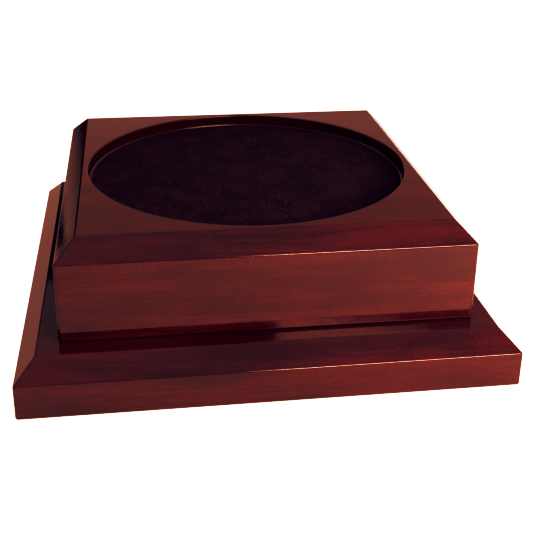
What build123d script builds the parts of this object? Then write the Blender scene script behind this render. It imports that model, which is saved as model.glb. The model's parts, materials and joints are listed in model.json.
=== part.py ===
from build123d import *
import os

# A two-tier square display base of lacquered board, for an offering plate.
# The plate's foot stands in the round velvet-lined recess in the top.
# Frame: millimetres, +Z up, the origin on the floor under the centre of the base.

os.makedirs("parts", exist_ok=True)

# ---- driving dimensions ----
plinth_width = 254.0       # lower tier, across its upright faces (10 in)
block_width = 212.0        # upper tier, across its upright faces
total_height = 82.2        # floor to the flat top: 81.6 mm of wood standing on 0.6 mm of felt
bevel = 10.5               # 45 degree bevel round the top of both tiers, run and rise
edge_radius = 1.5          # rounding of every lacquered outer edge
recess_diameter = 184.0    # round recess in the top
recess_depth = 7.4         # flat top to the recess's bare floor
recess_rim_radius = 0.8    # rounding of the recess's rim
recess_foot_radius = 1.5   # hollow rounding between the recess's wall and floor
velvet_thickness = 0.8

# ---- boards ----
deck_thickness = 12.0
top_thickness = 18.0
wall_thickness = 12.0
rail_width = 18.0
rail_height = 17.0
base_thickness = 3.0
felt_thickness = 1.0
felt_proud = 0.6           # how far the felt stands out below the rails
top_rebate = 3.0           # depth of the rebate in the top panel that takes the walls
base_rebate = 10.0         # width of the rebate in the rails that takes the base panel
base_gap = 0.5             # play round the base panel and the felt

# ---- hidden joinery ----
spline_thickness = 3.0
wall_spline_width = 8.0
wall_spline_inset = 5.5    # inner corner of the walls to the spline's middle, along X and Y
rail_spline_width = 10.0
rail_spline_inset = 8.0
corner_block_width = 25.0

# ---- fasteners ----
tier_screw_length = 30.0
tier_screw_radius = 2.0
tier_screw_tip = 4.0       # length of the pointed tip
tier_head_radius = 4.0
tier_head_height = 2.6
deck_hole_radius = 2.25
washer_radius = 6.0
washer_thickness = 1.0
base_screw_length = 12.0
base_screw_radius = 1.5
base_screw_tip = 2.5
base_head_radius = 2.9
base_screw_inset = 5.0     # edge of the base panel's rebate to the screws' line
base_screw_reach = 70.0    # middle of a side to each of its two screws
drive_radius = 1.3         # cross recess in the screw heads, taken as a round socket
drive_depth = 1.2

# ---- levels, floor up ----
rail_bottom = felt_proud
base_bottom = felt_thickness
base_top = base_bottom + base_thickness
deck_bottom = rail_bottom + rail_height
deck_top = deck_bottom + deck_thickness
top_bottom = total_height - top_thickness
wall_top = top_bottom + top_rebate
recess_floor = total_height - recess_depth

# ---- half widths ----
plinth_half = plinth_width / 2
block_half = block_width / 2
rail_inner_half = plinth_half - rail_width
rebate_half = rail_inner_half + base_rebate
wall_inner_half = block_half - wall_thickness
tier_screw_place = wall_inner_half - corner_block_width / 2
base_screw_line = rebate_half - base_screw_inset

sides = {"front": 0, "right": 90, "back": 180, "left": 270}
corners = {
    "front_left": (-1, -1),
    "front_right": (1, -1),
    "back_right": (1, 1),
    "back_left": (-1, 1),
}


def finish(builder, name):
    """Label a finished piece and write it to its own file."""
    builder.part.label = name
    export_step(builder.part, f"parts/{name}.step")


def tier_form(half, bottom, top):
    """The whole outside of one tier: a square block with a bevelled top and all its edges rounded."""
    inset = edge_radius
    run = bevel - inset * (2 - 2**0.5)  # a 45 degree bevel loses this much when every face moves in
    with BuildPart() as form:
        with BuildSketch(Plane.XY.offset(bottom + inset)):
            Rectangle(2 * (half - inset), 2 * (half - inset))
        extrude(amount=top - bottom - 2 * inset)
        chamfer(form.faces().sort_by(Axis.Z)[-1].edges(), run)
        offset(amount=edge_radius, kind=Kind.ARC)
    return form.part


def corner_plane(sign_x, sign_y, reach, height):
    """A level plane on a corner's diagonal, its own X axis along the diagonal, pointing outward."""
    return Plane(origin=(sign_x * reach, sign_y * reach, height), x_dir=(sign_x, sign_y, 0), z_dir=(0, 0, 1))


def side_sector(angle, half, bottom, top):
    """The wedge between two mitres that belongs to the side at this angle round the base."""
    with BuildPart() as sector:
        with BuildSketch(Plane.XY.offset(bottom).rotated((0, 0, angle))):
            with BuildLine():
                Polyline((0, 0), (-half, -half), (half, -half), close=True)
            make_face()
        extrude(amount=top - bottom)
    return sector.part


def mitre_slots(inset, inner_half, width, bottom, top):
    """The four upright slots, one across each mitre, that the splines fill."""
    with BuildPart() as slots:
        for sign_x, sign_y in corners.values():
            with BuildSketch(corner_plane(sign_x, sign_y, inner_half + inset, bottom)):
                Rectangle(spline_thickness, width)
            extrude(amount=top - bottom)
    return slots.part


def spline(name, corner, inset, inner_half, width, bottom, top):
    """One spline: a strip glued in the slots of two mitred pieces."""
    with BuildPart() as strip:
        with BuildSketch(corner_plane(*corners[corner], inner_half + inset, bottom)):
            Rectangle(spline_thickness, width)
        extrude(amount=top - bottom)
    finish(strip, name)


plinth_form = tier_form(plinth_half, rail_bottom, deck_top)
block_form = tier_form(block_half, deck_top, total_height)

# ---- lower tier: rails ----
rail_slots = mitre_slots(rail_spline_inset, rail_inner_half, rail_spline_width, base_top, deck_bottom)
base_screw_spots = [
    (sign_x * along, sign_y * across)
    for sign_x, sign_y in corners.values()
    for along, across in ((base_screw_reach, base_screw_line), (base_screw_line, base_screw_reach))
]

for side, angle in sides.items():
    with BuildPart() as rail:
        add(plinth_form)
        add(side_sector(angle, plinth_half, rail_bottom, deck_bottom), mode=Mode.INTERSECT)
        with BuildSketch(Plane.XY.offset(rail_bottom)):
            Rectangle(2 * rail_inner_half, 2 * rail_inner_half)
        extrude(amount=rail_height, mode=Mode.SUBTRACT)
        with BuildSketch(Plane.XY.offset(rail_bottom)):
            Rectangle(2 * rebate_half, 2 * rebate_half)
        extrude(amount=base_top - rail_bottom, mode=Mode.SUBTRACT)
        add(rail_slots, mode=Mode.SUBTRACT)
        with Locations(*[(x, y, base_bottom + base_screw_length) for x, y in base_screw_spots]):
            Hole(base_screw_radius, depth=base_screw_length)
    finish(rail, f"plinth_rail_{side}")

for corner in corners:
    spline(
        f"plinth_spline_{corner}",
        corner,
        rail_spline_inset,
        rail_inner_half,
        rail_spline_width,
        base_top,
        deck_bottom,
    )

# ---- lower tier: deck ----
tier_screw_spots = [(x * tier_screw_place, y * tier_screw_place) for x, y in corners.values()]

with BuildPart() as plinth_deck:
    add(plinth_form)
    split(bisect_by=Plane.XY.offset(deck_bottom), keep=Keep.TOP)
    with Locations(*[(x, y, deck_top) for x, y in tier_screw_spots]):
        Hole(deck_hole_radius, depth=deck_thickness)
finish(plinth_deck, "plinth_deck")

# ---- base panel, its screws and the felt ----
with BuildPart() as base_panel:
    with BuildSketch(Plane.XY.offset(base_bottom)):
        Rectangle(2 * (rebate_half - base_gap), 2 * (rebate_half - base_gap))
    extrude(amount=base_thickness)
    with Locations(*[Plane((x, y, base_bottom), z_dir=(0, 0, -1)) for x, y in base_screw_spots]):
        CounterSinkHole(base_screw_radius, base_head_radius, base_thickness, counter_sink_angle=90)
finish(base_panel, "base_panel")

# each screw is turned from half of its own outline: flat head below, point up
with BuildPart() as base_panel_screws:
    for x, y in base_screw_spots:
        with BuildSketch(Plane.XZ.offset(-y)):
            with BuildLine():
                Polyline(
                    (x, base_bottom + drive_depth),
                    (x + drive_radius, base_bottom + drive_depth),
                    (x + drive_radius, base_bottom),
                    (x + base_head_radius, base_bottom),
                    (x + base_screw_radius, base_bottom + base_head_radius - base_screw_radius),
                    (x + base_screw_radius, base_bottom + base_screw_length - base_screw_tip),
                    (x, base_bottom + base_screw_length),
                    close=True,
                )
            make_face()
        revolve(axis=Axis((x, y, 0), (0, 0, 1)))
finish(base_panel_screws, "base_panel_screws")

with BuildPart() as base_felt:
    with BuildSketch():
        Rectangle(2 * (rebate_half - base_gap), 2 * (rebate_half - base_gap))
    extrude(amount=felt_thickness)
finish(base_felt, "base_felt")

# ---- upper tier: walls, splines and glue blocks ----
wall_slots = mitre_slots(wall_spline_inset, wall_inner_half, wall_spline_width, deck_top, top_bottom)

for side, angle in sides.items():
    with BuildPart() as wall:
        add(block_form)
        add(side_sector(angle, block_half, deck_top, wall_top), mode=Mode.INTERSECT)
        with BuildSketch(Plane.XY.offset(deck_top)):
            Rectangle(2 * wall_inner_half, 2 * wall_inner_half)
        extrude(amount=wall_top - deck_top, mode=Mode.SUBTRACT)
        add(wall_slots, mode=Mode.SUBTRACT)
    finish(wall, f"block_wall_{side}")

for corner, (sign_x, sign_y) in corners.items():
    spline(
        f"block_spline_{corner}",
        corner,
        wall_spline_inset,
        wall_inner_half,
        wall_spline_width,
        deck_top,
        top_bottom,
    )
    with BuildPart() as corner_block:
        with BuildSketch(Plane.XY.offset(deck_top)):
            with Locations((sign_x * tier_screw_place, sign_y * tier_screw_place)):
                Rectangle(corner_block_width, corner_block_width)
        extrude(amount=top_bottom - deck_top)
        with BuildSketch(Plane.XY.offset(deck_top)):
            with Locations((sign_x * tier_screw_place, sign_y * tier_screw_place)):
                Circle(tier_screw_radius)
        extrude(amount=tier_screw_length - deck_thickness - washer_thickness, mode=Mode.SUBTRACT)
    finish(corner_block, f"corner_block_{corner}")

# ---- upper tier: top panel with the round recess ----
with BuildPart() as top_panel:
    add(block_form)
    split(bisect_by=Plane.XY.offset(wall_top), keep=Keep.TOP)
    with BuildSketch(Plane.XY.offset(top_bottom)):
        Rectangle(2 * wall_inner_half, 2 * wall_inner_half)
    extrude(amount=top_rebate)
    with BuildSketch(Plane.XY.offset(recess_floor)):
        Circle(recess_diameter / 2)
    extrude(amount=recess_depth, mode=Mode.SUBTRACT)
    foot, rim = top_panel.edges(Select.LAST).filter_by(GeomType.CIRCLE).sort_by(Axis.Z)
    fillet(foot, recess_foot_radius)
    fillet(rim, recess_rim_radius)
finish(top_panel, "top_panel")

with BuildPart() as velvet_lining:
    with BuildSketch(Plane.XY.offset(recess_floor)):
        Circle(recess_diameter / 2 - recess_foot_radius)
    extrude(amount=velvet_thickness)
finish(velvet_lining, "velvet_lining")

# ---- screws and washers that join the tiers, heads in the plinth's hollow ----
seat_level = deck_bottom - washer_thickness

with BuildPart() as tier_washers:
    with BuildSketch(Plane.XY.offset(seat_level)):
        with Locations(*tier_screw_spots):
            Circle(washer_radius)
            Circle(deck_hole_radius, mode=Mode.SUBTRACT)
    extrude(amount=washer_thickness)
finish(tier_washers, "tier_washers")

with BuildPart() as tier_screws:
    for x, y in tier_screw_spots:
        with BuildSketch(Plane.XZ.offset(-y)):
            with BuildLine():
                Polyline(
                    (x, seat_level - tier_head_height + drive_depth),
                    (x + drive_radius, seat_level - tier_head_height + drive_depth),
                    (x + drive_radius, seat_level - tier_head_height),
                    (x + tier_head_radius, seat_level - tier_head_height),
                    (x + tier_head_radius, seat_level),
                    (x + tier_screw_radius, seat_level),
                    (x + tier_screw_radius, seat_level + tier_screw_length - tier_screw_tip),
                    (x, seat_level + tier_screw_length),
                    close=True,
                )
            make_face()
        revolve(axis=Axis((x, y, 0), (0, 0, 1)))
finish(tier_screws, "tier_screws")
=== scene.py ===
import json
import math

import bmesh
import bpy
from mathutils import Matrix, Vector, noise
from mathutils.bvhtree import BVHTree


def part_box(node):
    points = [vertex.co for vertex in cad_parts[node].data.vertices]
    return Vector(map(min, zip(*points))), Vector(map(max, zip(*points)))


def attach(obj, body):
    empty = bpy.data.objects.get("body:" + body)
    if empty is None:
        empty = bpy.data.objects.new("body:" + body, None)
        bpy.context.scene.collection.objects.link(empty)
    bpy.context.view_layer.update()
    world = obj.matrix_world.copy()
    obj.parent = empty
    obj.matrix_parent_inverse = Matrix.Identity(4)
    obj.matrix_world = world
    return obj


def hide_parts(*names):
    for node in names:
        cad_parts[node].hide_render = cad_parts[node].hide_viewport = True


bl_info = {
    "name": "Offering plate base",
    "version": (1, 0, 0),
    "blender": (4, 5, 0),
    "location": "3D View > Sidebar > Plate base",
    "description": "A two-tier lacquered base with a velvet-lined recess for an offering plate",
    "category": "Object",
}

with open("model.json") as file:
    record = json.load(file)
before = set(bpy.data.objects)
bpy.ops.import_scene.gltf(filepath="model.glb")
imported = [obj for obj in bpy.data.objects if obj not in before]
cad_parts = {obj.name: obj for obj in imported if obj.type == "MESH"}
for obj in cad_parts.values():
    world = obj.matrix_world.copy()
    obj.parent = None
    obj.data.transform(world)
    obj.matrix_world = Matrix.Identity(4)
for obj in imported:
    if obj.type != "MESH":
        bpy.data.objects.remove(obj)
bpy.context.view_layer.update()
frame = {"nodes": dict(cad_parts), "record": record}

BODY = "root"
SIDES = {"front": 0, "right": 90, "back": 180, "left": 270}
CORNERS = ((-1, -1), (1, -1), (1, 1), (-1, 1))
UP = Vector((0, 0, 1))
BALL_SEGMENTS = 32     # round the ball that is rolled over every outer edge
TURNED_STEPS = 192     # round the recess and the velvet
ARC_SEGMENTS = 8       # across the rim and the foot of the recess
PEG_SEGMENTS = 48      # round a screw hole
VELVET_RINGS = 16      # from the middle of the velvet to its edge
VELVET_HILLS = 55      # how closely the glued velvet's rises follow each other
WELD = 1e-7            # points closer than this are one point
LEVEL = 1e-6           # heights closer than this are one height
SEAM_LEVEL = 1e-5      # the same, for a height that a saw cut left
OVERRUN = 0.001        # how far a cutter reaches past the board
FLAT = 0.99            # a face whose normal reaches this far up lies flat

# ---- the boards' places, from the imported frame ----
top_low, top_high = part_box("top_panel")
wall_low, wall_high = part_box("block_wall_front")
deck_low, deck_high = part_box("plinth_deck")
rail_low, rail_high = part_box("plinth_rail_front")
velvet_low, velvet_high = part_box("velvet_lining")
felt_low, felt_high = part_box("base_felt")
base_low, base_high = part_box("base_panel")
screws_low, screws_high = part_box("base_panel_screws")
post_middle = sum(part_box("corner_block_back_right"), Vector()) / 2
wall_spline_middle = sum(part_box("block_spline_back_right"), Vector()) / 2
rail_spline_middle = sum(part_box("plinth_spline_back_right"), Vector()) / 2
plate_seat = next(m for m in frame["record"]["mounts"] if m["name"] == "plate_seat")

# ---- the lights: where each stands, the spot it points at, and its width and height ----
KEY_LIGHT = ((0.34, -0.71, 0.57), (0.08, -0.12, 0.05), (0.52, 0.28))
BOUNCE_LIGHT = ((0.40, -0.40, 0.22), (0.12, -0.20, 0.0), (0.20, 0.14))
FILL_LIGHT = ((-1.00, 0.45, 0.30), (-0.12, 0.05, 0.02), (0.60, 0.45))

# ---- the black cards that the left bevels mirror: lowest and highest corner ----
STANDING_CARD = ((-1.60, 1.330, 0.0), (-0.215, 1.334, 0.72))
LYING_CARD = ((-0.66, 0.700, 0.0), (-0.42, 0.800, 0.004))

FLOOR_REACH = 8.0      # middle of the floor to its edge
FLOOR_GLOW = 1.3       # brightness that is added to the floor where the camera sees it
GLOW_SHARE = 0.75      # how much of what the camera sees there is that glow

# ---- the grade: what each channel's linear level becomes ----
RED_STEPS = ((0.042, 0.0085), (0.098, 0.037), (0.134, 0.064), (0.183, 0.119), (0.285, 0.234), (0.62, 0.75))
GREEN_STEPS = ((0.016, 0.0006), (0.043, 0.0075), (0.11, 0.0162), (0.19, 0.036), (0.265, 0.057), (0.60, 0.58))
BLUE_STEPS = ((0.016, 0.0035), (0.043, 0.0116), (0.11, 0.0155), (0.19, 0.027), (0.265, 0.036), (0.60, 0.46))


# ---- sizes and colours that a user would change ----
def length(name, description, default):
    """A length, in metres, shown in the user's own unit."""
    return bpy.props.FloatProperty(
        name=name, description=description, default=default, min=0.0, unit="LENGTH", precision=5
    )


def bearing(name, description, degrees):
    """An angle, given in degrees."""
    return bpy.props.FloatProperty(
        name=name, description=description, default=math.radians(degrees), subtype="ANGLE"
    )


def power(name, description, watts):
    """A light's power."""
    return bpy.props.FloatProperty(name=name, description=description, default=watts, min=0.0)


def colour(name, description, default):
    """A colour in linear light."""
    return bpy.props.FloatVectorProperty(
        name=name, description=description, default=default, size=3, min=0.0, max=1.0, subtype="COLOR"
    )


class PlateBaseSizes(bpy.types.PropertyGroup):
    """What the boards are cut to."""

    bevel: length("Bevel", "Run and rise of the 45 degree bevel round both tiers", 0.0105)
    edge_radius: length("Edge radius", "Rounding of every lacquered outer edge", 0.0015)
    recess_radius: length(
        "Recess radius", "Half the width of the round recess", plate_seat["dims"]["r_mm"] / 1000
    )
    rim_radius: length("Rim radius", "Rounding of the recess's rim", 0.0008)
    foot_radius: length("Foot radius", "Hollow rounding where the recess's wall meets its floor", 0.0015)
    rim_flat: length("Rim flat", "Flat ring round the rim that joins it to the top", 0.0016)
    wall_thickness: length("Wall thickness", "Thickness of the block's four walls", 0.012)
    rail_width: length("Rail width", "Width of the plinth's four rails", 0.018)
    base_rebate: length("Rebate width", "Width of the rebate in the rails that takes the base panel", 0.010)
    spline_thickness: length("Spline thickness", "Thickness of the strips glued across the mitres", 0.003)
    wall_spline: length("Wall spline width", "Width of the strips across the walls' mitres", 0.008)
    rail_spline: length("Rail spline width", "Width of the strips across the rails' mitres", 0.010)
    base_screw_radius: length("Base screw radius", "Half the thickness of the base panel's screws", 0.0015)
    base_screw_reach: length("Base screw reach", "Middle of a side to each of its two screws", 0.070)
    base_screw_inset: length("Base screw inset", "Edge of the rebate to the screws' line", 0.005)
    deck_hole_radius: length("Deck hole radius", "Half the width of the screw holes in the deck", 0.00225)
    velvet_edge: length("Velvet edge", "Rounding of the velvet's cut edge", 0.0003)
    velvet_unevenness: length("Velvet unevenness", "How far the glued velvet rises and falls", 0.00004)
    felt_corner: length("Felt corner", "Rounding of the felt's corners in plan", 0.002)


class PlateBaseColours(bpy.types.PropertyGroup):
    """What the boards and linings are finished in."""

    rosewood_dark: colour("Rosewood, dark", "Dark streaks under the lacquer", (0.0220, 0.0036, 0.0042))
    rosewood_light: colour("Rosewood, light", "Light streaks under the lacquer", (0.0580, 0.0112, 0.0094))
    board: colour("Fibreboard", "The boards' bare faces inside the base", (0.38, 0.25, 0.14))
    velvet: colour("Velvet", "Pile of the recess's lining", (0.0165, 0.0043, 0.0042))
    velvet_sheen: colour("Velvet sheen", "Light caught on the tips of the pile", (0.34, 0.22, 0.26))
    felt: colour("Felt", "Felt under the base", (0.012, 0.011, 0.013))
    lint: colour("Lint", "Specks of dust in the velvet and the felt", (0.085, 0.078, 0.085))
    pale_wood: colour("Pale wood", "Corner blocks and splines", (0.52, 0.36, 0.20))
    hardboard: colour("Hardboard", "The thin base panel", (0.115, 0.058, 0.028))
    steel: colour("Zinc plating", "Screws and washers", (0.56, 0.57, 0.58))


class PlateBaseStage(bpy.types.PropertyGroup):
    """Where the camera stands and how the stage is lit."""

    camera_place: bpy.props.FloatVectorProperty(
        name="Camera place",
        description="Where the camera stands",
        default=(-0.064575, -0.524551, 0.275055),
        size=3,
        subtype="XYZ",
        unit="LENGTH",
    )
    camera_heading: bearing("Camera heading", "Turn to the right of the depth axis", 8.311)
    camera_tilt: bearing("Camera tilt", "How far the camera looks down", 21.723)
    camera_roll: bearing("Camera roll", "Turn about the line of sight", 0.763)
    lens: bpy.props.FloatProperty(
        name="Lens", description="Focal length in millimetres", default=64.477, min=10.0
    )
    shift_y: bpy.props.FloatProperty(
        name="Shift", description="Upright lens shift, for the framing", default=-0.1435
    )
    floor_colour: colour("Floor", "The pale floor", (0.86, 0.86, 0.86))
    key_power: power("Key light", "Power of the large soft light at the front right", 9.0)
    bounce_power: power("Bounce", "Power of the small light at the right, which no gloss mirrors", 5.0)
    fill_power: power("Fill light", "Power of the light on the left, which no gloss mirrors", 4.5)


# ---- modelling ----
def tier_core(half, bottom, top, sizes):
    """The tier's outline drawn in by the edge radius: a ball rolled over it leaves the rounded tier."""
    inset = sizes.edge_radius
    core = bmesh.new()
    bmesh.ops.create_cube(core, size=1.0)
    across = 2 * (half - inset)
    bmesh.ops.scale(core, vec=(across, across, top - bottom - 2 * inset), verts=core.verts)
    bmesh.ops.translate(core, vec=(0, 0, (top + bottom) / 2), verts=core.verts)
    upper = [e for e in core.edges if all(v.co.z > (top + bottom) / 2 for v in e.verts)]
    bmesh.ops.bevel(
        core,
        geom=upper,
        offset=sizes.bevel - inset * (2 - math.sqrt(2)),
        offset_type="OFFSET",
        segments=1,
        profile=0.5,
        affect="EDGES",
        clamp_overlap=False,
        material=-1,
    )
    return core


def rounded_tier(core, radius):
    """The tier with a ball's rounding on every edge and corner."""
    form = bmesh.new()
    for corner in core.verts:
        bmesh.ops.create_uvsphere(
            form,
            u_segments=BALL_SEGMENTS,
            v_segments=BALL_SEGMENTS,
            radius=radius,
            matrix=Matrix.Translation(corner.co),
        )
    bmesh.ops.delete(form, geom=form.edges[:], context="EDGES_FACES")
    bmesh.ops.convex_hull(form, input=form.verts[:], use_existing_faces=False)
    bmesh.ops.delete(form, geom=[v for v in form.verts if not v.link_faces], context="VERTS")
    bmesh.ops.dissolve_limit(form, angle_limit=math.radians(0.2), verts=form.verts[:], edges=form.edges[:])
    return form


def cut(board, place, away):
    """Saws the board through a plane, drops the side that away points to and closes the cut."""
    sawn = bmesh.ops.bisect_plane(
        board,
        geom=board.verts[:] + board.edges[:] + board.faces[:],
        dist=WELD,
        plane_co=place,
        plane_no=away,
        clear_outer=True,
    )
    edge = [e for e in sawn["geom_cut"] if isinstance(e, bmesh.types.BMEdge)]
    bmesh.ops.edgeloop_fill(board, edges=edge)


def add_box(into, low, high, turn=0.0):
    """A box between two corners, turned about its own upright middle line."""
    low, high = Vector(low), Vector(high)
    size = high - low
    place = Matrix.Translation((low + high) / 2) @ Matrix.Rotation(turn, 4, "Z") @ Matrix.Diagonal((*size, 1))
    return bmesh.ops.create_cube(into, size=1.0, matrix=place)["verts"]


def add_peg(into, x, y, bottom, top, radius):
    """An upright round peg."""
    bmesh.ops.create_cone(
        into,
        cap_ends=True,
        segments=PEG_SEGMENTS,
        radius1=radius,
        radius2=radius,
        depth=top - bottom,
        matrix=Matrix.Translation((x, y, (top + bottom) / 2)),
    )


def turned(into, outline):
    """Turns an outline of (reach, height) points round the upright axis."""
    points = [into.verts.new((reach, 0, height)) for reach, height in outline]
    lines = [into.edges.new(pair) for pair in zip(points, points[1:])]
    bmesh.ops.spin(
        into, geom=points + lines, cent=(0, 0, 0), axis=UP, angle=math.tau, steps=TURNED_STEPS, use_merge=True
    )
    bmesh.ops.remove_doubles(into, verts=into.verts[:], dist=WELD)


def rings_at(board, reach, height):
    """The turned edges at one reach and height."""
    return [
        e
        for e in board.edges
        if all(abs(v.co.z - height) < LEVEL and abs(v.co.xy.length - reach) < LEVEL for v in e.verts)
    ]


def round_over(board, edges, radius):
    """Rounds square edges to a quarter circle."""
    bmesh.ops.bevel(
        board,
        geom=edges,
        offset=radius,
        offset_type="OFFSET",
        segments=ARC_SEGMENTS,
        profile=0.5,
        affect="EDGES",
        clamp_overlap=False,
        material=-1,
    )


def flat_faces(board, height, up, tolerance):
    """The flat faces at one height that face up, for 1, or down, for -1."""
    return [
        f
        for f in board.faces
        if f.normal.z * up > FLAT and abs(f.calc_center_median().z - height) < tolerance
    ]


def join_open_edges(board, facing):
    """Fills the flat band between an outer and an inner open edge."""
    rims = [e for e in board.edges if e.is_boundary]
    bmesh.ops.triangle_fill(board, edges=rims, use_beauty=True, use_dissolve=False, normal=facing)


def carve(piece, cutter):
    """Takes the cutter's solid away from the piece."""
    tool = bpy.data.objects.new("cutter", bpy.data.meshes.new("cutter"))
    cutter.to_mesh(tool.data)
    cutter.free()
    bpy.context.scene.collection.objects.link(tool)
    carving = piece.modifiers.new("carve", "BOOLEAN")
    carving.object = tool
    carving.operation = "DIFFERENCE"
    carving.solver = "EXACT"
    carved = bpy.data.meshes.new_from_object(piece.evaluated_get(bpy.context.evaluated_depsgraph_get()))
    piece.modifiers.clear()
    plain, piece.data = piece.data, carved
    carved.name = piece.name
    bpy.data.meshes.remove(plain)
    bpy.data.meshes.remove(tool.data)


def new_piece(name, shape, *finishes):
    """Puts a finished shape in the scene as an object of its own."""
    mesh = bpy.data.meshes.new(name)
    bmesh.ops.recalc_face_normals(shape, faces=shape.faces[:])
    shape.to_mesh(mesh)
    shape.free()
    for material in finishes:
        mesh.materials.append(material)
    piece = bpy.data.objects.new(name, mesh)
    bpy.context.scene.collection.objects.link(piece)
    return piece


def place_piece(piece, node):
    """Lets the piece stand for its CAD node."""
    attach(piece, BODY)
    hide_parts(node)


def recess_normal(place, sizes):
    """Which way the turned skin of the recess faces."""
    reach, height = place.xy.length, place.z
    top, floor = top_high.z, velvet_low.z
    rim, foot, wall = sizes.rim_radius, sizes.foot_radius, sizes.recess_radius
    if height > top - rim:
        out, rise = reach - wall - rim, height - top + rim
        if reach > wall + rim:
            out = 0.0
    elif reach < wall - foot:
        out, rise = 0.0, 1.0
    elif height < floor + foot:
        out, rise = wall - foot - reach, floor + foot - height
    else:
        out, rise = -1.0, 0.0
    spread = out / reach if reach else 0.0
    return Vector((place.x * spread, place.y * spread, rise)).normalized()


def in_recess(place, sizes):
    """Whether a face belongs to the recess and not to the flat top or the tongue."""
    return place.z > velvet_low.z - SEAM_LEVEL and place.xy.length < sizes.recess_radius + sizes.rim_flat


def polish(piece, core, sizes):
    """Shades the rolled outside as one skin over every joint, and leaves cut faces flat and bare."""
    mesh = piece.data
    radius = sizes.edge_radius
    outline = BVHTree.FromBMesh(core)
    normals = [Vector()] * len(mesh.loops)
    for face in mesh.polygons:
        lift = face.center - outline.find_nearest(face.center)[0]
        rolled = abs(lift.length - radius) < 0.05 * radius and lift.normalized().dot(face.normal) > 0.98
        recess = not rolled and in_recess(face.center, sizes)
        face.use_smooth = True
        face.material_index = 0 if rolled or recess else 1
        for corner in face.loop_indices:
            place = mesh.vertices[mesh.loops[corner].vertex_index].co
            if rolled:
                normals[corner] = (place - outline.find_nearest(place)[0]).normalized()
            elif recess:
                normals[corner] = recess_normal(place, sizes)
            else:
                normals[corner] = face.normal.copy()
    mesh.normals_split_custom_set(normals)


def saw_side(board, angle, seam, inner):
    """Leaves one side's board: below the seam, between two mitres and outside the inner face."""
    turn = Matrix.Rotation(math.radians(angle), 3, "Z")
    cut(board, (0, 0, seam), UP)
    cut(board, (0, 0, 0), turn @ Vector((1, 1, 0)).normalized())
    cut(board, (0, 0, 0), turn @ Vector((-1, 1, 0)).normalized())
    cut(board, turn @ Vector((0, -inner, 0)), turn @ Vector((0, 1, 0)))


def add_spline_slots(into, reach, width, bottom, top, sizes):
    """The upright slots across the four mitres that the splines fill."""
    for x, y in CORNERS:
        middle = Vector((x * reach, y * reach, 0))
        half = Vector((sizes.spline_thickness / 2, width / 2, 0))
        add_box(into, middle - half + UP * bottom, middle + half + UP * top, math.atan2(y, x))


# ---- materials ----
def put(tree, kind, inputs=None, **settings):
    """Adds a node. An input given as a socket is joined to it, and any other value is set on it."""
    node = tree.nodes.new(kind)
    for name, value in settings.items():
        setattr(node, name, value)
    for name, value in (inputs or {}).items():
        if isinstance(value, bpy.types.NodeSocket):
            tree.links.new(value, node.inputs[name])
        else:
            node.inputs[name].default_value = value
    return node


def reckon(tree, operation, *values, clamp=False):
    """One step of arithmetic."""
    node = put(tree, "ShaderNodeMath", dict(enumerate(values)), operation=operation, use_clamp=clamp)
    return node.outputs[0]


def remap(tree, value, low, high, to_low=0.0, to_high=1.0):
    """Stretches a value's range to another."""
    inputs = {"Value": value, "From Min": low, "From Max": high, "To Min": to_low, "To Max": to_high}
    return put(tree, "ShaderNodeMapRange", inputs, interpolation_type="SMOOTHSTEP").outputs[0]


def blend(tree, share, first, second):
    """A colour between two."""
    node = tree.nodes.new("ShaderNodeMix")
    node.data_type = "RGBA"
    for socket, value in ((node.inputs[0], share), (node.inputs[6], first), (node.inputs[7], second)):
        if isinstance(value, bpy.types.NodeSocket):
            tree.links.new(value, socket)
        elif isinstance(value, (int, float)):
            socket.default_value = value
        else:
            socket.default_value = (*value, 1.0)
    return node.outputs[2]


def cloud(tree, place, scale, detail=2.0, roughness=0.5, distortion=0.0):
    """Soft noise round one half."""
    inputs = {"Vector": place, "Scale": scale, "Detail": detail}
    inputs |= {"Roughness": roughness, "Distortion": distortion}
    return put(tree, "ShaderNodeTexNoise", inputs).outputs["Fac"]


def stretched(tree, place, scale, turn=(0, 0, 0)):
    """A place drawn out or squeezed along the axes."""
    inputs = {"Vector": place, "Scale": scale, "Rotation": turn}
    return put(tree, "ShaderNodeMapping", inputs).outputs[0]


def new_group(name, takes, gives):
    """An empty node group with named inputs and outputs."""
    tree = bpy.data.node_groups.new(name, "ShaderNodeTree")
    for label, kind, default in takes:
        socket = tree.interface.new_socket(name=label, in_out="INPUT", socket_type=kind)
        if default is not None:
            socket.default_value = default
    for label, kind in gives:
        tree.interface.new_socket(name=label, in_out="OUTPUT", socket_type=kind)
    return tree, tree.nodes.new("NodeGroupInput").outputs, tree.nodes.new("NodeGroupOutput").inputs


def place_group(tree, group, inputs):
    """A node group placed in a material with its own values."""
    node = tree.nodes.new("ShaderNodeGroup")
    node.node_tree = group
    for name, value in inputs.items():
        if isinstance(value, bpy.types.NodeSocket):
            tree.links.new(value, node.inputs[name])
        else:
            node.inputs[name].default_value = value
    return node.outputs


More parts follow.
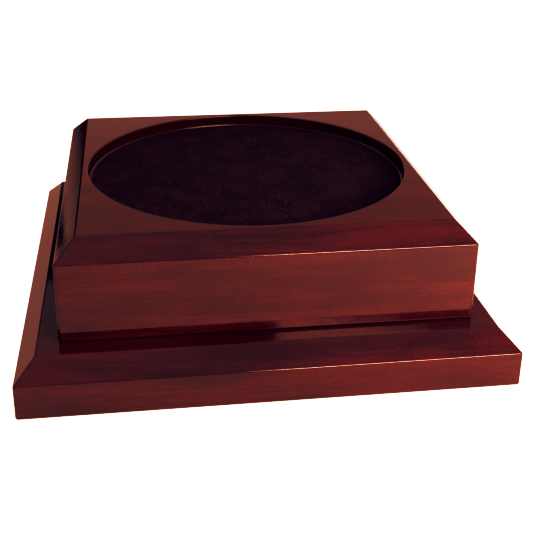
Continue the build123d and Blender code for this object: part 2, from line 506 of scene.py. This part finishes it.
def grain_direction_group(sizes):
    """Gives each board a place whose X runs along its veneer, which is along Y only on the sides."""
    group, takes, gives = new_group(
        "Grain direction", [("Place", "NodeSocketVector", None)], [("Along", "NodeSocketVector")]
    )
    axes = put(group, "ShaderNodeSeparateXYZ", {0: takes["Place"]}).outputs
    wide, deep = (reckon(group, "ABSOLUTE", axes[name]) for name in "XY")
    to_side = reckon(group, "GREATER_THAN", wide, deep)
    off_top = reckon(group, "GREATER_THAN", wide, top_high.x - sizes.bevel - sizes.edge_radius / 4)
    on_side = reckon(group, "MULTIPLY", to_side, off_top)
    turned_place = put(
        group, "ShaderNodeCombineXYZ", {"X": axes["Y"], "Y": axes["X"], "Z": axes["Z"]}
    ).outputs[0]
    choice = put(group, "ShaderNodeMix", data_type="VECTOR")
    group.links.new(on_side, choice.inputs[0])
    group.links.new(takes["Place"], choice.inputs[4])
    group.links.new(turned_place, choice.inputs[5])
    group.links.new(choice.outputs[1], gives["Along"])
    return group


def wood_grain_group():
    """Long soft streaks, a broad figure and short fine pores that run along X."""
    group, takes, gives = new_group(
        "Wood grain",
        [
            ("Along", "NodeSocketVector", None),
            ("Streak", "NodeSocketFloat", 1.0),
            ("Pores", "NodeSocketFloat", 0.5),
            ("Figure", "NodeSocketFloat", 0.5),
            ("Fleck", "NodeSocketFloat", 0.0),
        ],
        [("Tone", "NodeSocketFloat"), ("Pore", "NodeSocketFloat")],
    )
    place = takes["Along"]
    wander = cloud(group, stretched(group, place, (9, 22, 22)), 1.0, 2.0)
    swing = put(group, "ShaderNodeCombineXYZ", {"Y": wander, "Z": wander}).outputs[0]
    bent = put(group, "ShaderNodeVectorMath", {0: swing, 1: (0.012,) * 3, 2: place}, operation="MULTIPLY_ADD")
    along = bent.outputs[0]
    broad = cloud(group, stretched(group, along, (6, 75, 75)), 1.0, 3.0, 0.55)
    fine = cloud(group, stretched(group, along, (22, 520, 520)), 1.0, 3.0, 0.6)
    figure = cloud(group, stretched(group, place, (14, 48, 48)), 1.0, 3.0, 0.6, 0.4)
    broad_part, fine_part = reckon(group, "MULTIPLY", broad, 0.62), reckon(group, "MULTIPLY", fine, 0.38)
    streaks = remap(group, reckon(group, "ADD", broad_part, fine_part), 0.34, 0.66)
    shaded = put(group, "ShaderNodeMix", data_type="FLOAT")
    group.links.new(takes["Figure"], shaded.inputs[0])
    group.links.new(streaks, shaded.inputs[2])
    group.links.new(remap(group, figure, 0.3, 0.7), shaded.inputs[3])
    centred = reckon(group, "SUBTRACT", shaded.outputs[0], 0.5)
    tone = reckon(group, "MULTIPLY_ADD", centred, takes["Streak"], 0.5, clamp=True)
    grit = cloud(group, stretched(group, place, (800, 1300, 1300)), 1.0, 2.0, 0.6)
    fleck = remap(group, grit, 0.3, 0.7, -0.5, 0.5)
    tone = reckon(group, "MULTIPLY_ADD", fleck, takes["Fleck"], tone, clamp=True)
    dots = cloud(group, stretched(group, along, (120, 1500, 1500)), 1.0, 2.0, 0.7)
    pore = reckon(group, "MULTIPLY", remap(group, dots, 0.62, 0.74), takes["Pores"])
    group.links.new(tone, gives["Tone"])
    group.links.new(pore, gives["Pore"])
    return group


def mottle_group():
    """Slow patches between two values, for roughness, sheen and tone."""
    group, takes, gives = new_group(
        "Mottle",
        [
            ("Place", "NodeSocketVector", None),
            ("Scale", "NodeSocketFloat", 60.0),
            ("Low", "NodeSocketFloat", 0.0),
            ("High", "NodeSocketFloat", 1.0),
        ],
        [("Value", "NodeSocketFloat")],
    )
    patches = cloud(group, takes["Place"], takes["Scale"], 4.0, 0.6)
    group.links.new(remap(group, patches, 0.3, 0.7, takes["Low"], takes["High"]), gives["Value"])
    return group


def lint_group():
    """Sparse specks of dust."""
    group, takes, gives = new_group(
        "Lint",
        [
            ("Place", "NodeSocketVector", None),
            ("Spacing", "NodeSocketFloat", 240.0),
            ("Size", "NodeSocketFloat", 0.1),
            ("Share", "NodeSocketFloat", 0.2),
        ],
        [("Speck", "NodeSocketFloat")],
    )
    cells = put(group, "ShaderNodeTexVoronoi", {"Vector": takes["Place"], "Scale": takes["Spacing"]}).outputs
    chance = put(group, "ShaderNodeSeparateColor", {0: cells["Color"]}).outputs
    there = reckon(group, "LESS_THAN", chance[0], takes["Share"])
    size = reckon(group, "MULTIPLY", takes["Size"], reckon(group, "MULTIPLY_ADD", chance[1], 0.8, 0.4))
    near = remap(group, cells["Distance"], reckon(group, "MULTIPLY", size, 0.4), size, 1.0, 0.0)
    strength = reckon(group, "MULTIPLY", near, reckon(group, "MULTIPLY", there, chance[2]))
    group.links.new(strength, gives["Speck"])
    return group


def pile_group():
    """The standing tips of cloth fibres."""
    group, takes, gives = new_group(
        "Pile",
        [("Place", "NodeSocketVector", None), ("Scale", "NodeSocketFloat", 2500.0)],
        [("Height", "NodeSocketFloat")],
    )
    tips = cloud(group, takes["Place"], takes["Scale"], 2.0, 0.7)
    brushed = cloud(group, stretched(group, takes["Place"], (300, 900, 300)), 1.0, 2.0)
    group.links.new(reckon(group, "MULTIPLY_ADD", brushed, 0.5, tips), gives["Height"])
    return group


def new_finish(name):
    """An empty material and its parts: node tree, Principled shader and the place on the object."""
    material = bpy.data.materials.new(name)
    material.use_nodes = True
    tree = material.node_tree
    shader = tree.nodes["Principled BSDF"]
    place = tree.nodes.new("ShaderNodeTexCoord").outputs["Object"]
    return material, tree, shader, place


def raise_surface(tree, shader, height, distance, strength=1.0):
    """Lets a height show as relief."""
    inputs = {"Height": height, "Distance": distance, "Strength": strength}
    tree.links.new(put(tree, "ShaderNodeBump", inputs).outputs[0], shader.inputs["Normal"])


def shades(base, *factors):
    """The same colour made darker or lighter."""
    return [[channel * factor for channel in base] for factor in factors]


def recess_shade(tree, place, sizes):
    """One on the recess's wall and floor, fading out over its rim, and nought elsewhere: where the painted
    shade and the extra roughness go.
    """
    axes = put(tree, "ShaderNodeSeparateXYZ", {0: place}).outputs
    flat_place = put(tree, "ShaderNodeCombineXYZ", {"X": axes["X"], "Y": axes["Y"]}).outputs[0]
    reach = put(tree, "ShaderNodeVectorMath", {0: flat_place}, operation="LENGTH").outputs["Value"]
    inside = reckon(tree, "LESS_THAN", reach, sizes.recess_radius + sizes.rim_radius)
    rim = sizes.rim_radius
    below_rim = remap(tree, axes["Z"], top_high.z - rim, top_high.z - rim / 4, 1.0, 0.0)
    above_floor = reckon(tree, "GREATER_THAN", axes["Z"], velvet_low.z - sizes.foot_radius)
    return reckon(tree, "MULTIPLY", reckon(tree, "MULTIPLY", inside, below_rim), above_floor)


def make_polished_rosewood(effects, sizes, colours):
    """Polished lacquer over rosewood veneer, with painted shade that darkens the recess's wall and floor."""
    _, tree, shader, place = new_finish("polished_rosewood")
    # a flat dark tone that stands in for the shade inside the recess: painted shade
    half_dark, painted_recess_shade = shades(colours.rosewood_dark, 0.5, 1.1)
    along = place_group(tree, effects["grain direction"], {"Place": place})["Along"]
    cut_of_wood = {"Along": along, "Streak": 1.15, "Pores": 0.2, "Figure": 0.45, "Fleck": 0.28}
    grain = place_group(tree, effects["wood grain"], cut_of_wood)
    tone = blend(tree, grain["Tone"], colours.rosewood_dark, colours.rosewood_light)
    deep = blend(tree, grain["Pore"], tone, half_dark)
    in_shade = recess_shade(tree, place, sizes)
    # the recess's wall and floor take that dark tone in place of the grain: painted shade
    tree.links.new(blend(tree, in_shade, deep, painted_recess_shade), shader.inputs["Base Color"])
    haze = place_group(tree, effects["mottle"], {"Place": place, "Scale": 45.0, "Low": 0.035, "High": 0.075})
    tree.links.new(reckon(tree, "MULTIPLY_ADD", in_shade, 0.14, haze["Value"]), shader.inputs["Roughness"])
    shader.inputs["IOR"].default_value = 1.5
    shader.inputs["Specular IOR Level"].default_value = 0.62
    raise_surface(tree, shader, cloud(tree, place, 170.0, 1.0), 0.000012)


def make_bare_board(effects, colours):
    """Sawn fibreboard, where the boards are bare inside."""
    _, tree, shader, place = new_finish("sawn_fibreboard")
    (dark,) = shades(colours.board, 0.55)
    fibres = cloud(tree, stretched(tree, place, (420, 640, 900)), 1.0, 4.0, 0.7)
    patches = place_group(tree, effects["mottle"], {"Place": place, "Scale": 35.0, "Low": 0.0, "High": 0.5})
    shade = reckon(tree, "MULTIPLY_ADD", fibres, 0.5, patches["Value"])
    tree.links.new(blend(tree, shade, colours.board, dark), shader.inputs["Base Color"])
    shader.inputs["Roughness"].default_value = 0.85
    raise_surface(tree, shader, fibres, 0.00015)


def make_velvet(effects, colours):
    """The pile of the velvet in the recess, with soft patches and lint."""
    _, tree, shader, place = new_finish("velvet_pile")
    dark, light = shades(colours.velvet, 0.65, 1.5)
    height = place_group(tree, effects["pile"], {"Place": place, "Scale": 2200.0})["Height"]
    patches = place_group(tree, effects["mottle"], {"Place": place, "Scale": 75.0, "Low": 0.0, "High": 1.0})
    dust = {"Place": place, "Spacing": 620.0, "Size": 0.30, "Share": 0.30}
    specks = place_group(tree, effects["lint"], dust)["Speck"]
    nap = blend(tree, patches["Value"], dark, light)
    tree.links.new(blend(tree, specks, nap, colours.lint), shader.inputs["Base Color"])
    shader.inputs["Roughness"].default_value = 0.95
    shader.inputs["Specular IOR Level"].default_value = 0.15
    shader.inputs["Sheen Weight"].default_value = 0.06
    shader.inputs["Sheen Roughness"].default_value = 0.5
    shader.inputs["Sheen Tint"].default_value = (*colours.velvet_sheen, 1.0)
    raise_surface(tree, shader, height, 0.0004, 0.8)


def make_felt(effects, colours):
    """Pressed felt under the base."""
    _, tree, shader, place = new_finish("pressed_felt")
    dark, light = shades(colours.felt, 0.6, 1.8)
    height = place_group(tree, effects["pile"], {"Place": place, "Scale": 900.0})["Height"]
    patches = place_group(tree, effects["mottle"], {"Place": place, "Scale": 120.0, "Low": 0.0, "High": 1.0})
    dust = {"Place": place, "Spacing": 180.0, "Size": 0.16, "Share": 0.3}
    specks = place_group(tree, effects["lint"], dust)["Speck"]
    wool = blend(tree, patches["Value"], dark, light)
    tree.links.new(blend(tree, specks, wool, colours.lint), shader.inputs["Base Color"])
    shader.inputs["Roughness"].default_value = 1.0
    shader.inputs["Specular IOR Level"].default_value = 0.1
    shader.inputs["Sheen Weight"].default_value = 0.1
    raise_surface(tree, shader, height, 0.0006)


def make_raw_wood(effects, colours):
    """Planed pale wood of the corner blocks and splines, its grain upright."""
    _, tree, shader, place = new_finish("planed_wood")
    dark, pore_dark = shades(colours.pale_wood, 0.6, 0.4)
    upright = stretched(tree, place, (1, 1, 1), (0, math.radians(90), 0))
    cut_of_wood = {"Along": upright, "Streak": 1.0, "Pores": 0.8, "Figure": 0.25}
    grain = place_group(tree, effects["wood grain"], cut_of_wood)
    tone = blend(tree, grain["Tone"], dark, colours.pale_wood)
    tree.links.new(blend(tree, grain["Pore"], tone, pore_dark), shader.inputs["Base Color"])
    shader.inputs["Roughness"].default_value = 0.7
    raise_surface(tree, shader, grain["Tone"], 0.00008)


def make_hardboard(effects, colours):
    """Hardboard, smooth and brown, with flecks of fibre."""
    _, tree, shader, place = new_finish("brown_hardboard")
    dark, light = shades(colours.hardboard, 0.6, 1.5)
    flecks = cloud(tree, stretched(tree, place, (260, 260, 800)), 1.0, 5.0, 0.75, 1.5)
    shade = remap(tree, flecks, 0.35, 0.68)
    tree.links.new(blend(tree, shade, dark, light), shader.inputs["Base Color"])
    haze = place_group(tree, effects["mottle"], {"Place": place, "Scale": 50.0, "Low": 0.38, "High": 0.6})
    tree.links.new(haze["Value"], shader.inputs["Roughness"])
    raise_surface(tree, shader, flecks, 0.00006)


def make_zinc_plate(effects, colours):
    """Zinc-plated steel of the screws and washers."""
    _, tree, shader, place = new_finish("zinc_plate")
    (dark,) = shades(colours.steel, 0.75)
    haze = place_group(tree, effects["mottle"], {"Place": place, "Scale": 700.0, "Low": 0.0, "High": 1.0})
    patches = haze["Value"]
    tree.links.new(blend(tree, patches, dark, colours.steel), shader.inputs["Base Color"])
    tree.links.new(reckon(tree, "MULTIPLY_ADD", patches, 0.18, 0.24), shader.inputs["Roughness"])
    shader.inputs["Metallic"].default_value = 1.0
    raise_surface(tree, shader, cloud(tree, place, 3000.0, 2.0), 0.00002)


def make_finishes(sizes, colours):
    """Every finish, after the effects that they share."""
    effects = {
        "grain direction": grain_direction_group(sizes),
        "wood grain": wood_grain_group(),
        "mottle": mottle_group(),
        "lint": lint_group(),
        "pile": pile_group(),
    }
    make_polished_rosewood(effects, sizes, colours)
    for make in (make_bare_board, make_velvet, make_felt, make_raw_wood, make_hardboard, make_zinc_plate):
        make(effects, colours)


def finish(name):
    """A finish by name, all of them made the first time one is asked for."""
    if name not in bpy.data.materials:
        scene = bpy.context.scene
        make_finishes(scene.plate_base_sizes, scene.plate_base_colours)
    return bpy.data.materials[name]


def board_finishes():
    """Lacquer for a board's outside and bare board for its cut faces."""
    return finish("polished_rosewood"), finish("sawn_fibreboard")


# ---- operators, one for each kind of piece ----
class PLATEBASE_OT_walls(bpy.types.Operator):
    """Makes the four mitred walls of the upper tier"""

    bl_idname = "plate_base.walls"
    bl_label = "Block walls"
    bl_options = {"REGISTER", "UNDO"}

    def execute(self, context):
        sizes = context.scene.plate_base_sizes
        core = tier_core(top_high.x, wall_low.z, top_high.z, sizes)
        tier = rounded_tier(core, sizes.edge_radius)
        inner = top_high.x - sizes.wall_thickness
        for side, angle in SIDES.items():
            board = tier.copy()
            saw_side(board, angle, wall_high.z, inner)
            wall = new_piece(f"lacquered_wall_{side}", board, *board_finishes())
            slots = bmesh.new()
            low, high = wall_low.z - OVERRUN, top_low.z
            add_spline_slots(slots, wall_spline_middle.x, sizes.wall_spline, low, high, sizes)
            carve(wall, slots)
            polish(wall, core, sizes)
            place_piece(wall, f"block_wall_{side}")
        tier.free()
        core.free()
        return {"FINISHED"}


class PLATEBASE_OT_top(bpy.types.Operator):
    """Makes the top panel with its bevel, its round recess and the tongue that drops between the walls"""

    bl_idname = "plate_base.top"
    bl_label = "Top panel"
    bl_options = {"REGISTER", "UNDO"}

    def execute(self, context):
        sizes = context.scene.plate_base_sizes
        core = tier_core(top_high.x, wall_low.z, top_high.z, sizes)
        board = rounded_tier(core, sizes.edge_radius)
        cut(board, (0, 0, wall_high.z), -UP)

        tongue_half = top_high.x - sizes.wall_thickness
        bmesh.ops.delete(board, geom=flat_faces(board, wall_high.z, -1, SEAM_LEVEL), context="FACES_ONLY")
        low, high = (-tongue_half, -tongue_half, top_low.z), (tongue_half, tongue_half, wall_high.z)
        lid = {f for v in add_box(board, low, high) for f in v.link_faces if f.normal.z > FLAT}
        bmesh.ops.delete(board, geom=list(lid), context="FACES_ONLY")
        join_open_edges(board, -UP)

        bmesh.ops.delete(board, geom=flat_faces(board, top_high.z, 1, LEVEL), context="FACES_ONLY")
        wall, floor, top = sizes.recess_radius, velvet_low.z, top_high.z
        turned(board, [(wall + sizes.rim_flat, top), (wall, top), (wall, floor), (0, floor)])
        round_over(board, rings_at(board, wall, top), sizes.rim_radius)
        round_over(board, rings_at(board, wall, floor), sizes.foot_radius)
        join_open_edges(board, UP)

        panel = new_piece("lacquered_top", board, *board_finishes())
        polish(panel, core, sizes)
        place_piece(panel, "top_panel")
        core.free()
        return {"FINISHED"}


class PLATEBASE_OT_deck(bpy.types.Operator):
    """Makes the bevelled deck of the plinth, with its screw holes"""

    bl_idname = "plate_base.deck"
    bl_label = "Plinth deck"
    bl_options = {"REGISTER", "UNDO"}

    def execute(self, context):
        sizes = context.scene.plate_base_sizes
        core = tier_core(deck_high.x, rail_low.z, deck_high.z, sizes)
        board = rounded_tier(core, sizes.edge_radius)
        cut(board, (0, 0, deck_low.z), -UP)
        deck = new_piece("lacquered_deck", board, *board_finishes())
        pegs = bmesh.new()
        low, high = deck_low.z - OVERRUN, deck_high.z + OVERRUN
        for x, y in CORNERS:
            add_peg(pegs, x * post_middle.x, y * post_middle.y, low, high, sizes.deck_hole_radius)
        carve(deck, pegs)
        polish(deck, core, sizes)
        place_piece(deck, "plinth_deck")
        core.free()
        return {"FINISHED"}


class PLATEBASE_OT_rails(bpy.types.Operator):
    """Makes the four mitred rails of the plinth, rebated for the base panel"""

    bl_idname = "plate_base.rails"
    bl_label = "Plinth rails"
    bl_options = {"REGISTER", "UNDO"}

    def execute(self, context):
        sizes = context.scene.plate_base_sizes
        core = tier_core(deck_high.x, rail_low.z, deck_high.z, sizes)
        tier = rounded_tier(core, sizes.edge_radius)
        inner = deck_high.x - sizes.rail_width
        rebate = inner + sizes.base_rebate
        line = rebate - sizes.base_screw_inset
        for side, angle in SIDES.items():
            board = tier.copy()
            saw_side(board, angle, rail_high.z, inner)
            rail = new_piece(f"lacquered_rail_{side}", board, *board_finishes())
            rebate_box = bmesh.new()
            add_box(rebate_box, (-rebate, -rebate, -OVERRUN), (rebate, rebate, base_high.z))
            carve(rail, rebate_box)
            slots = bmesh.new()
            low, high = base_high.z - OVERRUN / 2, rail_high.z + OVERRUN
            add_spline_slots(slots, rail_spline_middle.x, sizes.rail_spline, low, high, sizes)
            carve(rail, slots)
            holes = bmesh.new()
            for x, y in CORNERS:
                for across, along in ((sizes.base_screw_reach, line), (line, sizes.base_screw_reach)):
                    add_peg(holes, x * across, y * along, felt_low.z, screws_high.z, sizes.base_screw_radius)
            carve(rail, holes)
            polish(rail, core, sizes)
            place_piece(rail, f"plinth_rail_{side}")
        tier.free()
        core.free()
        return {"FINISHED"}


class PLATEBASE_OT_velvet(bpy.types.Operator):
    """Makes the round velvet lining that is glued to the recess's floor"""

    bl_idname = "plate_base.velvet"
    bl_label = "Velvet lining"
    bl_options = {"REGISTER", "UNDO"}

    def execute(self, context):
        sizes = context.scene.plate_base_sizes
        radius, bottom, top = velvet_high.x, velvet_low.z, velvet_high.z
        cloth = bmesh.new()
        over = [(radius * step / VELVET_RINGS, top) for step in range(VELVET_RINGS)]
        turned(cloth, [*over, (radius, top), (radius, bottom), (0, bottom)])
        round_over(cloth, rings_at(cloth, radius, top), sizes.velvet_edge)
        for point in cloth.verts:
            if point.co.z > top - LEVEL:
                point.co.z -= sizes.velvet_unevenness * (1 + noise.noise(point.co * VELVET_HILLS))
        lining = new_piece("velvet", cloth, finish("velvet_pile"))
        for face in lining.data.polygons:
            face.use_smooth = True
        lining.data.set_sharp_from_angle(angle=math.radians(40))
        place_piece(lining, "velvet_lining")
        return {"FINISHED"}


class PLATEBASE_OT_felt(bpy.types.Operator):
    """Makes the felt sheet under the base panel"""

    bl_idname = "plate_base.felt"
    bl_label = "Base felt"
    bl_options = {"REGISTER", "UNDO"}

    def execute(self, context):
        sizes = context.scene.plate_base_sizes
        cloth = bmesh.new()
        add_box(cloth, felt_low, felt_high)
        upright = [e for e in cloth.edges if abs(e.verts[0].co.z - e.verts[1].co.z) > LEVEL]
        round_over(cloth, upright, sizes.felt_corner)
        sheet = new_piece("felt", cloth, finish("pressed_felt"))
        place_piece(sheet, "base_felt")
        return {"FINISHED"}


class PLATEBASE_OT_hidden(bpy.types.Operator):
    """Finishes the parts inside the base that keep their CAD shape"""

    bl_idname = "plate_base.hidden"
    bl_label = "Hidden parts"
    bl_options = {"REGISTER", "UNDO"}

    def execute(self, context):
        for name, part in frame["nodes"].items():
            if part.hide_render:
                continue
            if name.startswith(("block_spline", "plinth_spline", "corner_block")):
                label = "planed_wood"
            elif name.startswith(("base_panel_screws", "tier_")):
                label = "zinc_plate"
            else:
                label = "brown_hardboard"
            for place in part.material_slots:
                place.material = finish(label)
        return {"FINISHED"}


class PLATEBASE_OT_stage(bpy.types.Operator):
    """Sets the pale floor, the soft studio light and the camera"""

    bl_idname = "plate_base.stage"
    bl_label = "Stage"
    bl_options = {"REGISTER", "UNDO"}

    def execute(self, context):
        scene = context.scene
        stage = scene.plate_base_stage

        ground = bmesh.new()
        bmesh.ops.create_grid(ground, x_segments=8, y_segments=8, size=FLOOR_REACH)
        floor = new_piece("floor", ground, self.floor_finish(stage))
        cards = bmesh.new()
        add_box(cards, *STANDING_CARD)
        add_box(cards, *LYING_CARD)
        flag = new_piece("flag", cards, self.flag_finish())
        flag.visible_camera = False

        self.add_light("key", KEY_LIGHT, stage.key_power)
        for name, light, watts in (
            ("bounce", BOUNCE_LIGHT, stage.bounce_power),
            ("fill", FILL_LIGHT, stage.fill_power),
        ):
            self.add_light(name, light, watts).visible_glossy = False
        self.set_surroundings(scene)

        lens = bpy.data.cameras.new("camera")
        lens.lens = stage.lens
        lens.sensor_width = 36.0
        lens.shift_y = stage.shift_y
        lens.clip_start = 0.01
        camera = bpy.data.objects.new("camera", lens)
        camera.matrix_world = (
            Matrix.Translation(stage.camera_place)
            @ Matrix.Rotation(-stage.camera_heading, 4, "Z")
            @ Matrix.Rotation(math.pi / 2 - stage.camera_tilt, 4, "X")
            @ Matrix.Rotation(stage.camera_roll, 4, "Z")
        )
        scene.collection.objects.link(camera)
        scene.camera = camera
        self.grade(scene.view_settings)
        return {"FINISHED"}

    def floor_finish(self, stage):
        """Plain pale paper, bright enough to lose all but the closest shadow."""
        material, tree, shader, place = new_finish("pale_floor")
        paper = cloud(tree, place, 3.0, 3.0)
        tone = blend(tree, paper, stage.floor_colour, [c * 0.985 for c in stage.floor_colour])
        tree.links.new(tone, shader.inputs["Base Color"])
        shader.inputs["Roughness"].default_value = 0.9
        shader.inputs["Specular IOR Level"].default_value = 0.0
        glow = put(tree, "ShaderNodeEmission", {"Color": (1, 1, 1, 1), "Strength": FLOOR_GLOW})
        seen = put(tree, "ShaderNodeLightPath").outputs["Is Camera Ray"]
        mixed = put(tree, "ShaderNodeMixShader", {0: reckon(tree, "MULTIPLY", seen, GLOW_SHARE)})
        tree.links.new(shader.outputs[0], mixed.inputs[1])
        tree.links.new(glow.outputs[0], mixed.inputs[2])
        tree.links.new(mixed.outputs[0], tree.nodes["Material Output"].inputs["Surface"])
        return material

    def flag_finish(self):
        """Black cloth of the cards that darken the reflections on the left."""
        material, tree, shader, place = new_finish("flag_cloth")
        weave = cloud(tree, place, 300.0, 2.0)
        cloth = blend(tree, weave, (0.004,) * 3, (0.008,) * 3)
        tree.links.new(cloth, shader.inputs["Base Color"])
        shader.inputs["Roughness"].default_value = 0.95
        shader.inputs["Specular IOR Level"].default_value = 0.1
        return material

    def add_light(self, name, light, watts):
        """A rectangular softbox that points at a spot and that the camera doesn't see."""
        place, aim, size = light
        lamp = bpy.data.lights.new(name, "AREA")
        lamp.shape = "RECTANGLE"
        lamp.size, lamp.size_y = size
        lamp.energy = watts
        softbox = bpy.data.objects.new(name, lamp)
        turn = (Vector(aim) - Vector(place)).to_track_quat("-Z", "Y").to_matrix().to_4x4()
        softbox.matrix_world = Matrix.Translation(place) @ turn
        softbox.visible_camera = False
        bpy.context.scene.collection.objects.link(softbox)
        return softbox

    def set_surroundings(self, scene):
        """A pale room, brightest low down behind the base, and plain white to the camera."""
        scene.world = bpy.data.worlds.new("studio")
        scene.world.use_nodes = True
        tree = scene.world.node_tree
        room = tree.nodes["Background"]
        toward = tree.nodes.new("ShaderNodeTexCoord").outputs["Generated"]
        way = put(tree, "ShaderNodeSeparateXYZ", {0: toward}).outputs
        # the walls dim with height and towards the front, and the ceiling is pale again
        low_down = remap(tree, way["Z"], 0.22, 0.52, 0.85, 0.45)
        at_the_back = remap(tree, way["Y"], -0.55, 0.45, 0.5, 1.0)
        walls = reckon(tree, "MULTIPLY", low_down, at_the_back)
        ceiling = remap(tree, way["Z"], 0.62, 0.88, 0.0, 0.55)
        level = reckon(tree, "MAXIMUM", walls, ceiling)
        seen = put(tree, "ShaderNodeLightPath").outputs["Is Camera Ray"]
        tree.links.new(reckon(tree, "MAXIMUM", level, seen), room.inputs["Strength"])
        room.inputs["Color"].default_value = (1, 1, 1, 1)

    def grade(self, settings):
        """Deepens dark tones and turns them red, and leaves white as it is."""
        settings.view_transform = "Standard"
        settings.use_curve_mapping = True
        curves = settings.curve_mapping.curves
        for curve, steps in zip(curves, (RED_STEPS, GREEN_STEPS, BLUE_STEPS)):
            for level, graded in steps:
                curve.points.new(level, graded)
            for point in curve.points:
                point.handle_type = "AUTO_CLAMPED"
        settings.curve_mapping.update()


class PLATEBASE_PT_panel(bpy.types.Panel):
    """Lists the steps that build the base"""

    bl_idname = "PLATEBASE_PT_panel"
    bl_label = "Plate base"
    bl_space_type = "VIEW_3D"
    bl_region_type = "UI"
    bl_category = "Plate base"

    def draw(self, context):
        layout = self.layout
        for step in STEPS:
            layout.operator(step.bl_idname)
        for group in (getattr(context.scene, name) for name in GROUPS):
            box = layout.box()
            for name in group.bl_rna.properties.keys():
                if name not in {"rna_type", "name"}:
                    box.prop(group, name)


STEPS = (
    PLATEBASE_OT_stage,
    PLATEBASE_OT_rails,
    PLATEBASE_OT_deck,
    PLATEBASE_OT_walls,
    PLATEBASE_OT_top,
    PLATEBASE_OT_velvet,
    PLATEBASE_OT_felt,
    PLATEBASE_OT_hidden,
)
GROUPS = {
    "plate_base_sizes": PlateBaseSizes,
    "plate_base_colours": PlateBaseColours,
    "plate_base_stage": PlateBaseStage,
}


def register():
    for group in GROUPS.values():
        bpy.utils.register_class(group)
    for name, group in GROUPS.items():
        setattr(bpy.types.Scene, name, bpy.props.PointerProperty(type=group))
    for step in (*STEPS, PLATEBASE_PT_panel):
        bpy.utils.register_class(step)


def unregister():
    for step in reversed((*STEPS, PLATEBASE_PT_panel)):
        bpy.utils.unregister_class(step)
    for name, group in GROUPS.items():
        delattr(bpy.types.Scene, name)
        bpy.utils.unregister_class(group)


def main():
    register()
    bpy.ops.plate_base.stage()
    bpy.ops.plate_base.rails()
    bpy.ops.plate_base.deck()
    bpy.ops.plate_base.walls()
    bpy.ops.plate_base.top()
    bpy.ops.plate_base.velvet()
    bpy.ops.plate_base.felt()
    bpy.ops.plate_base.hidden()


if __name__ == "__main__":
    main()
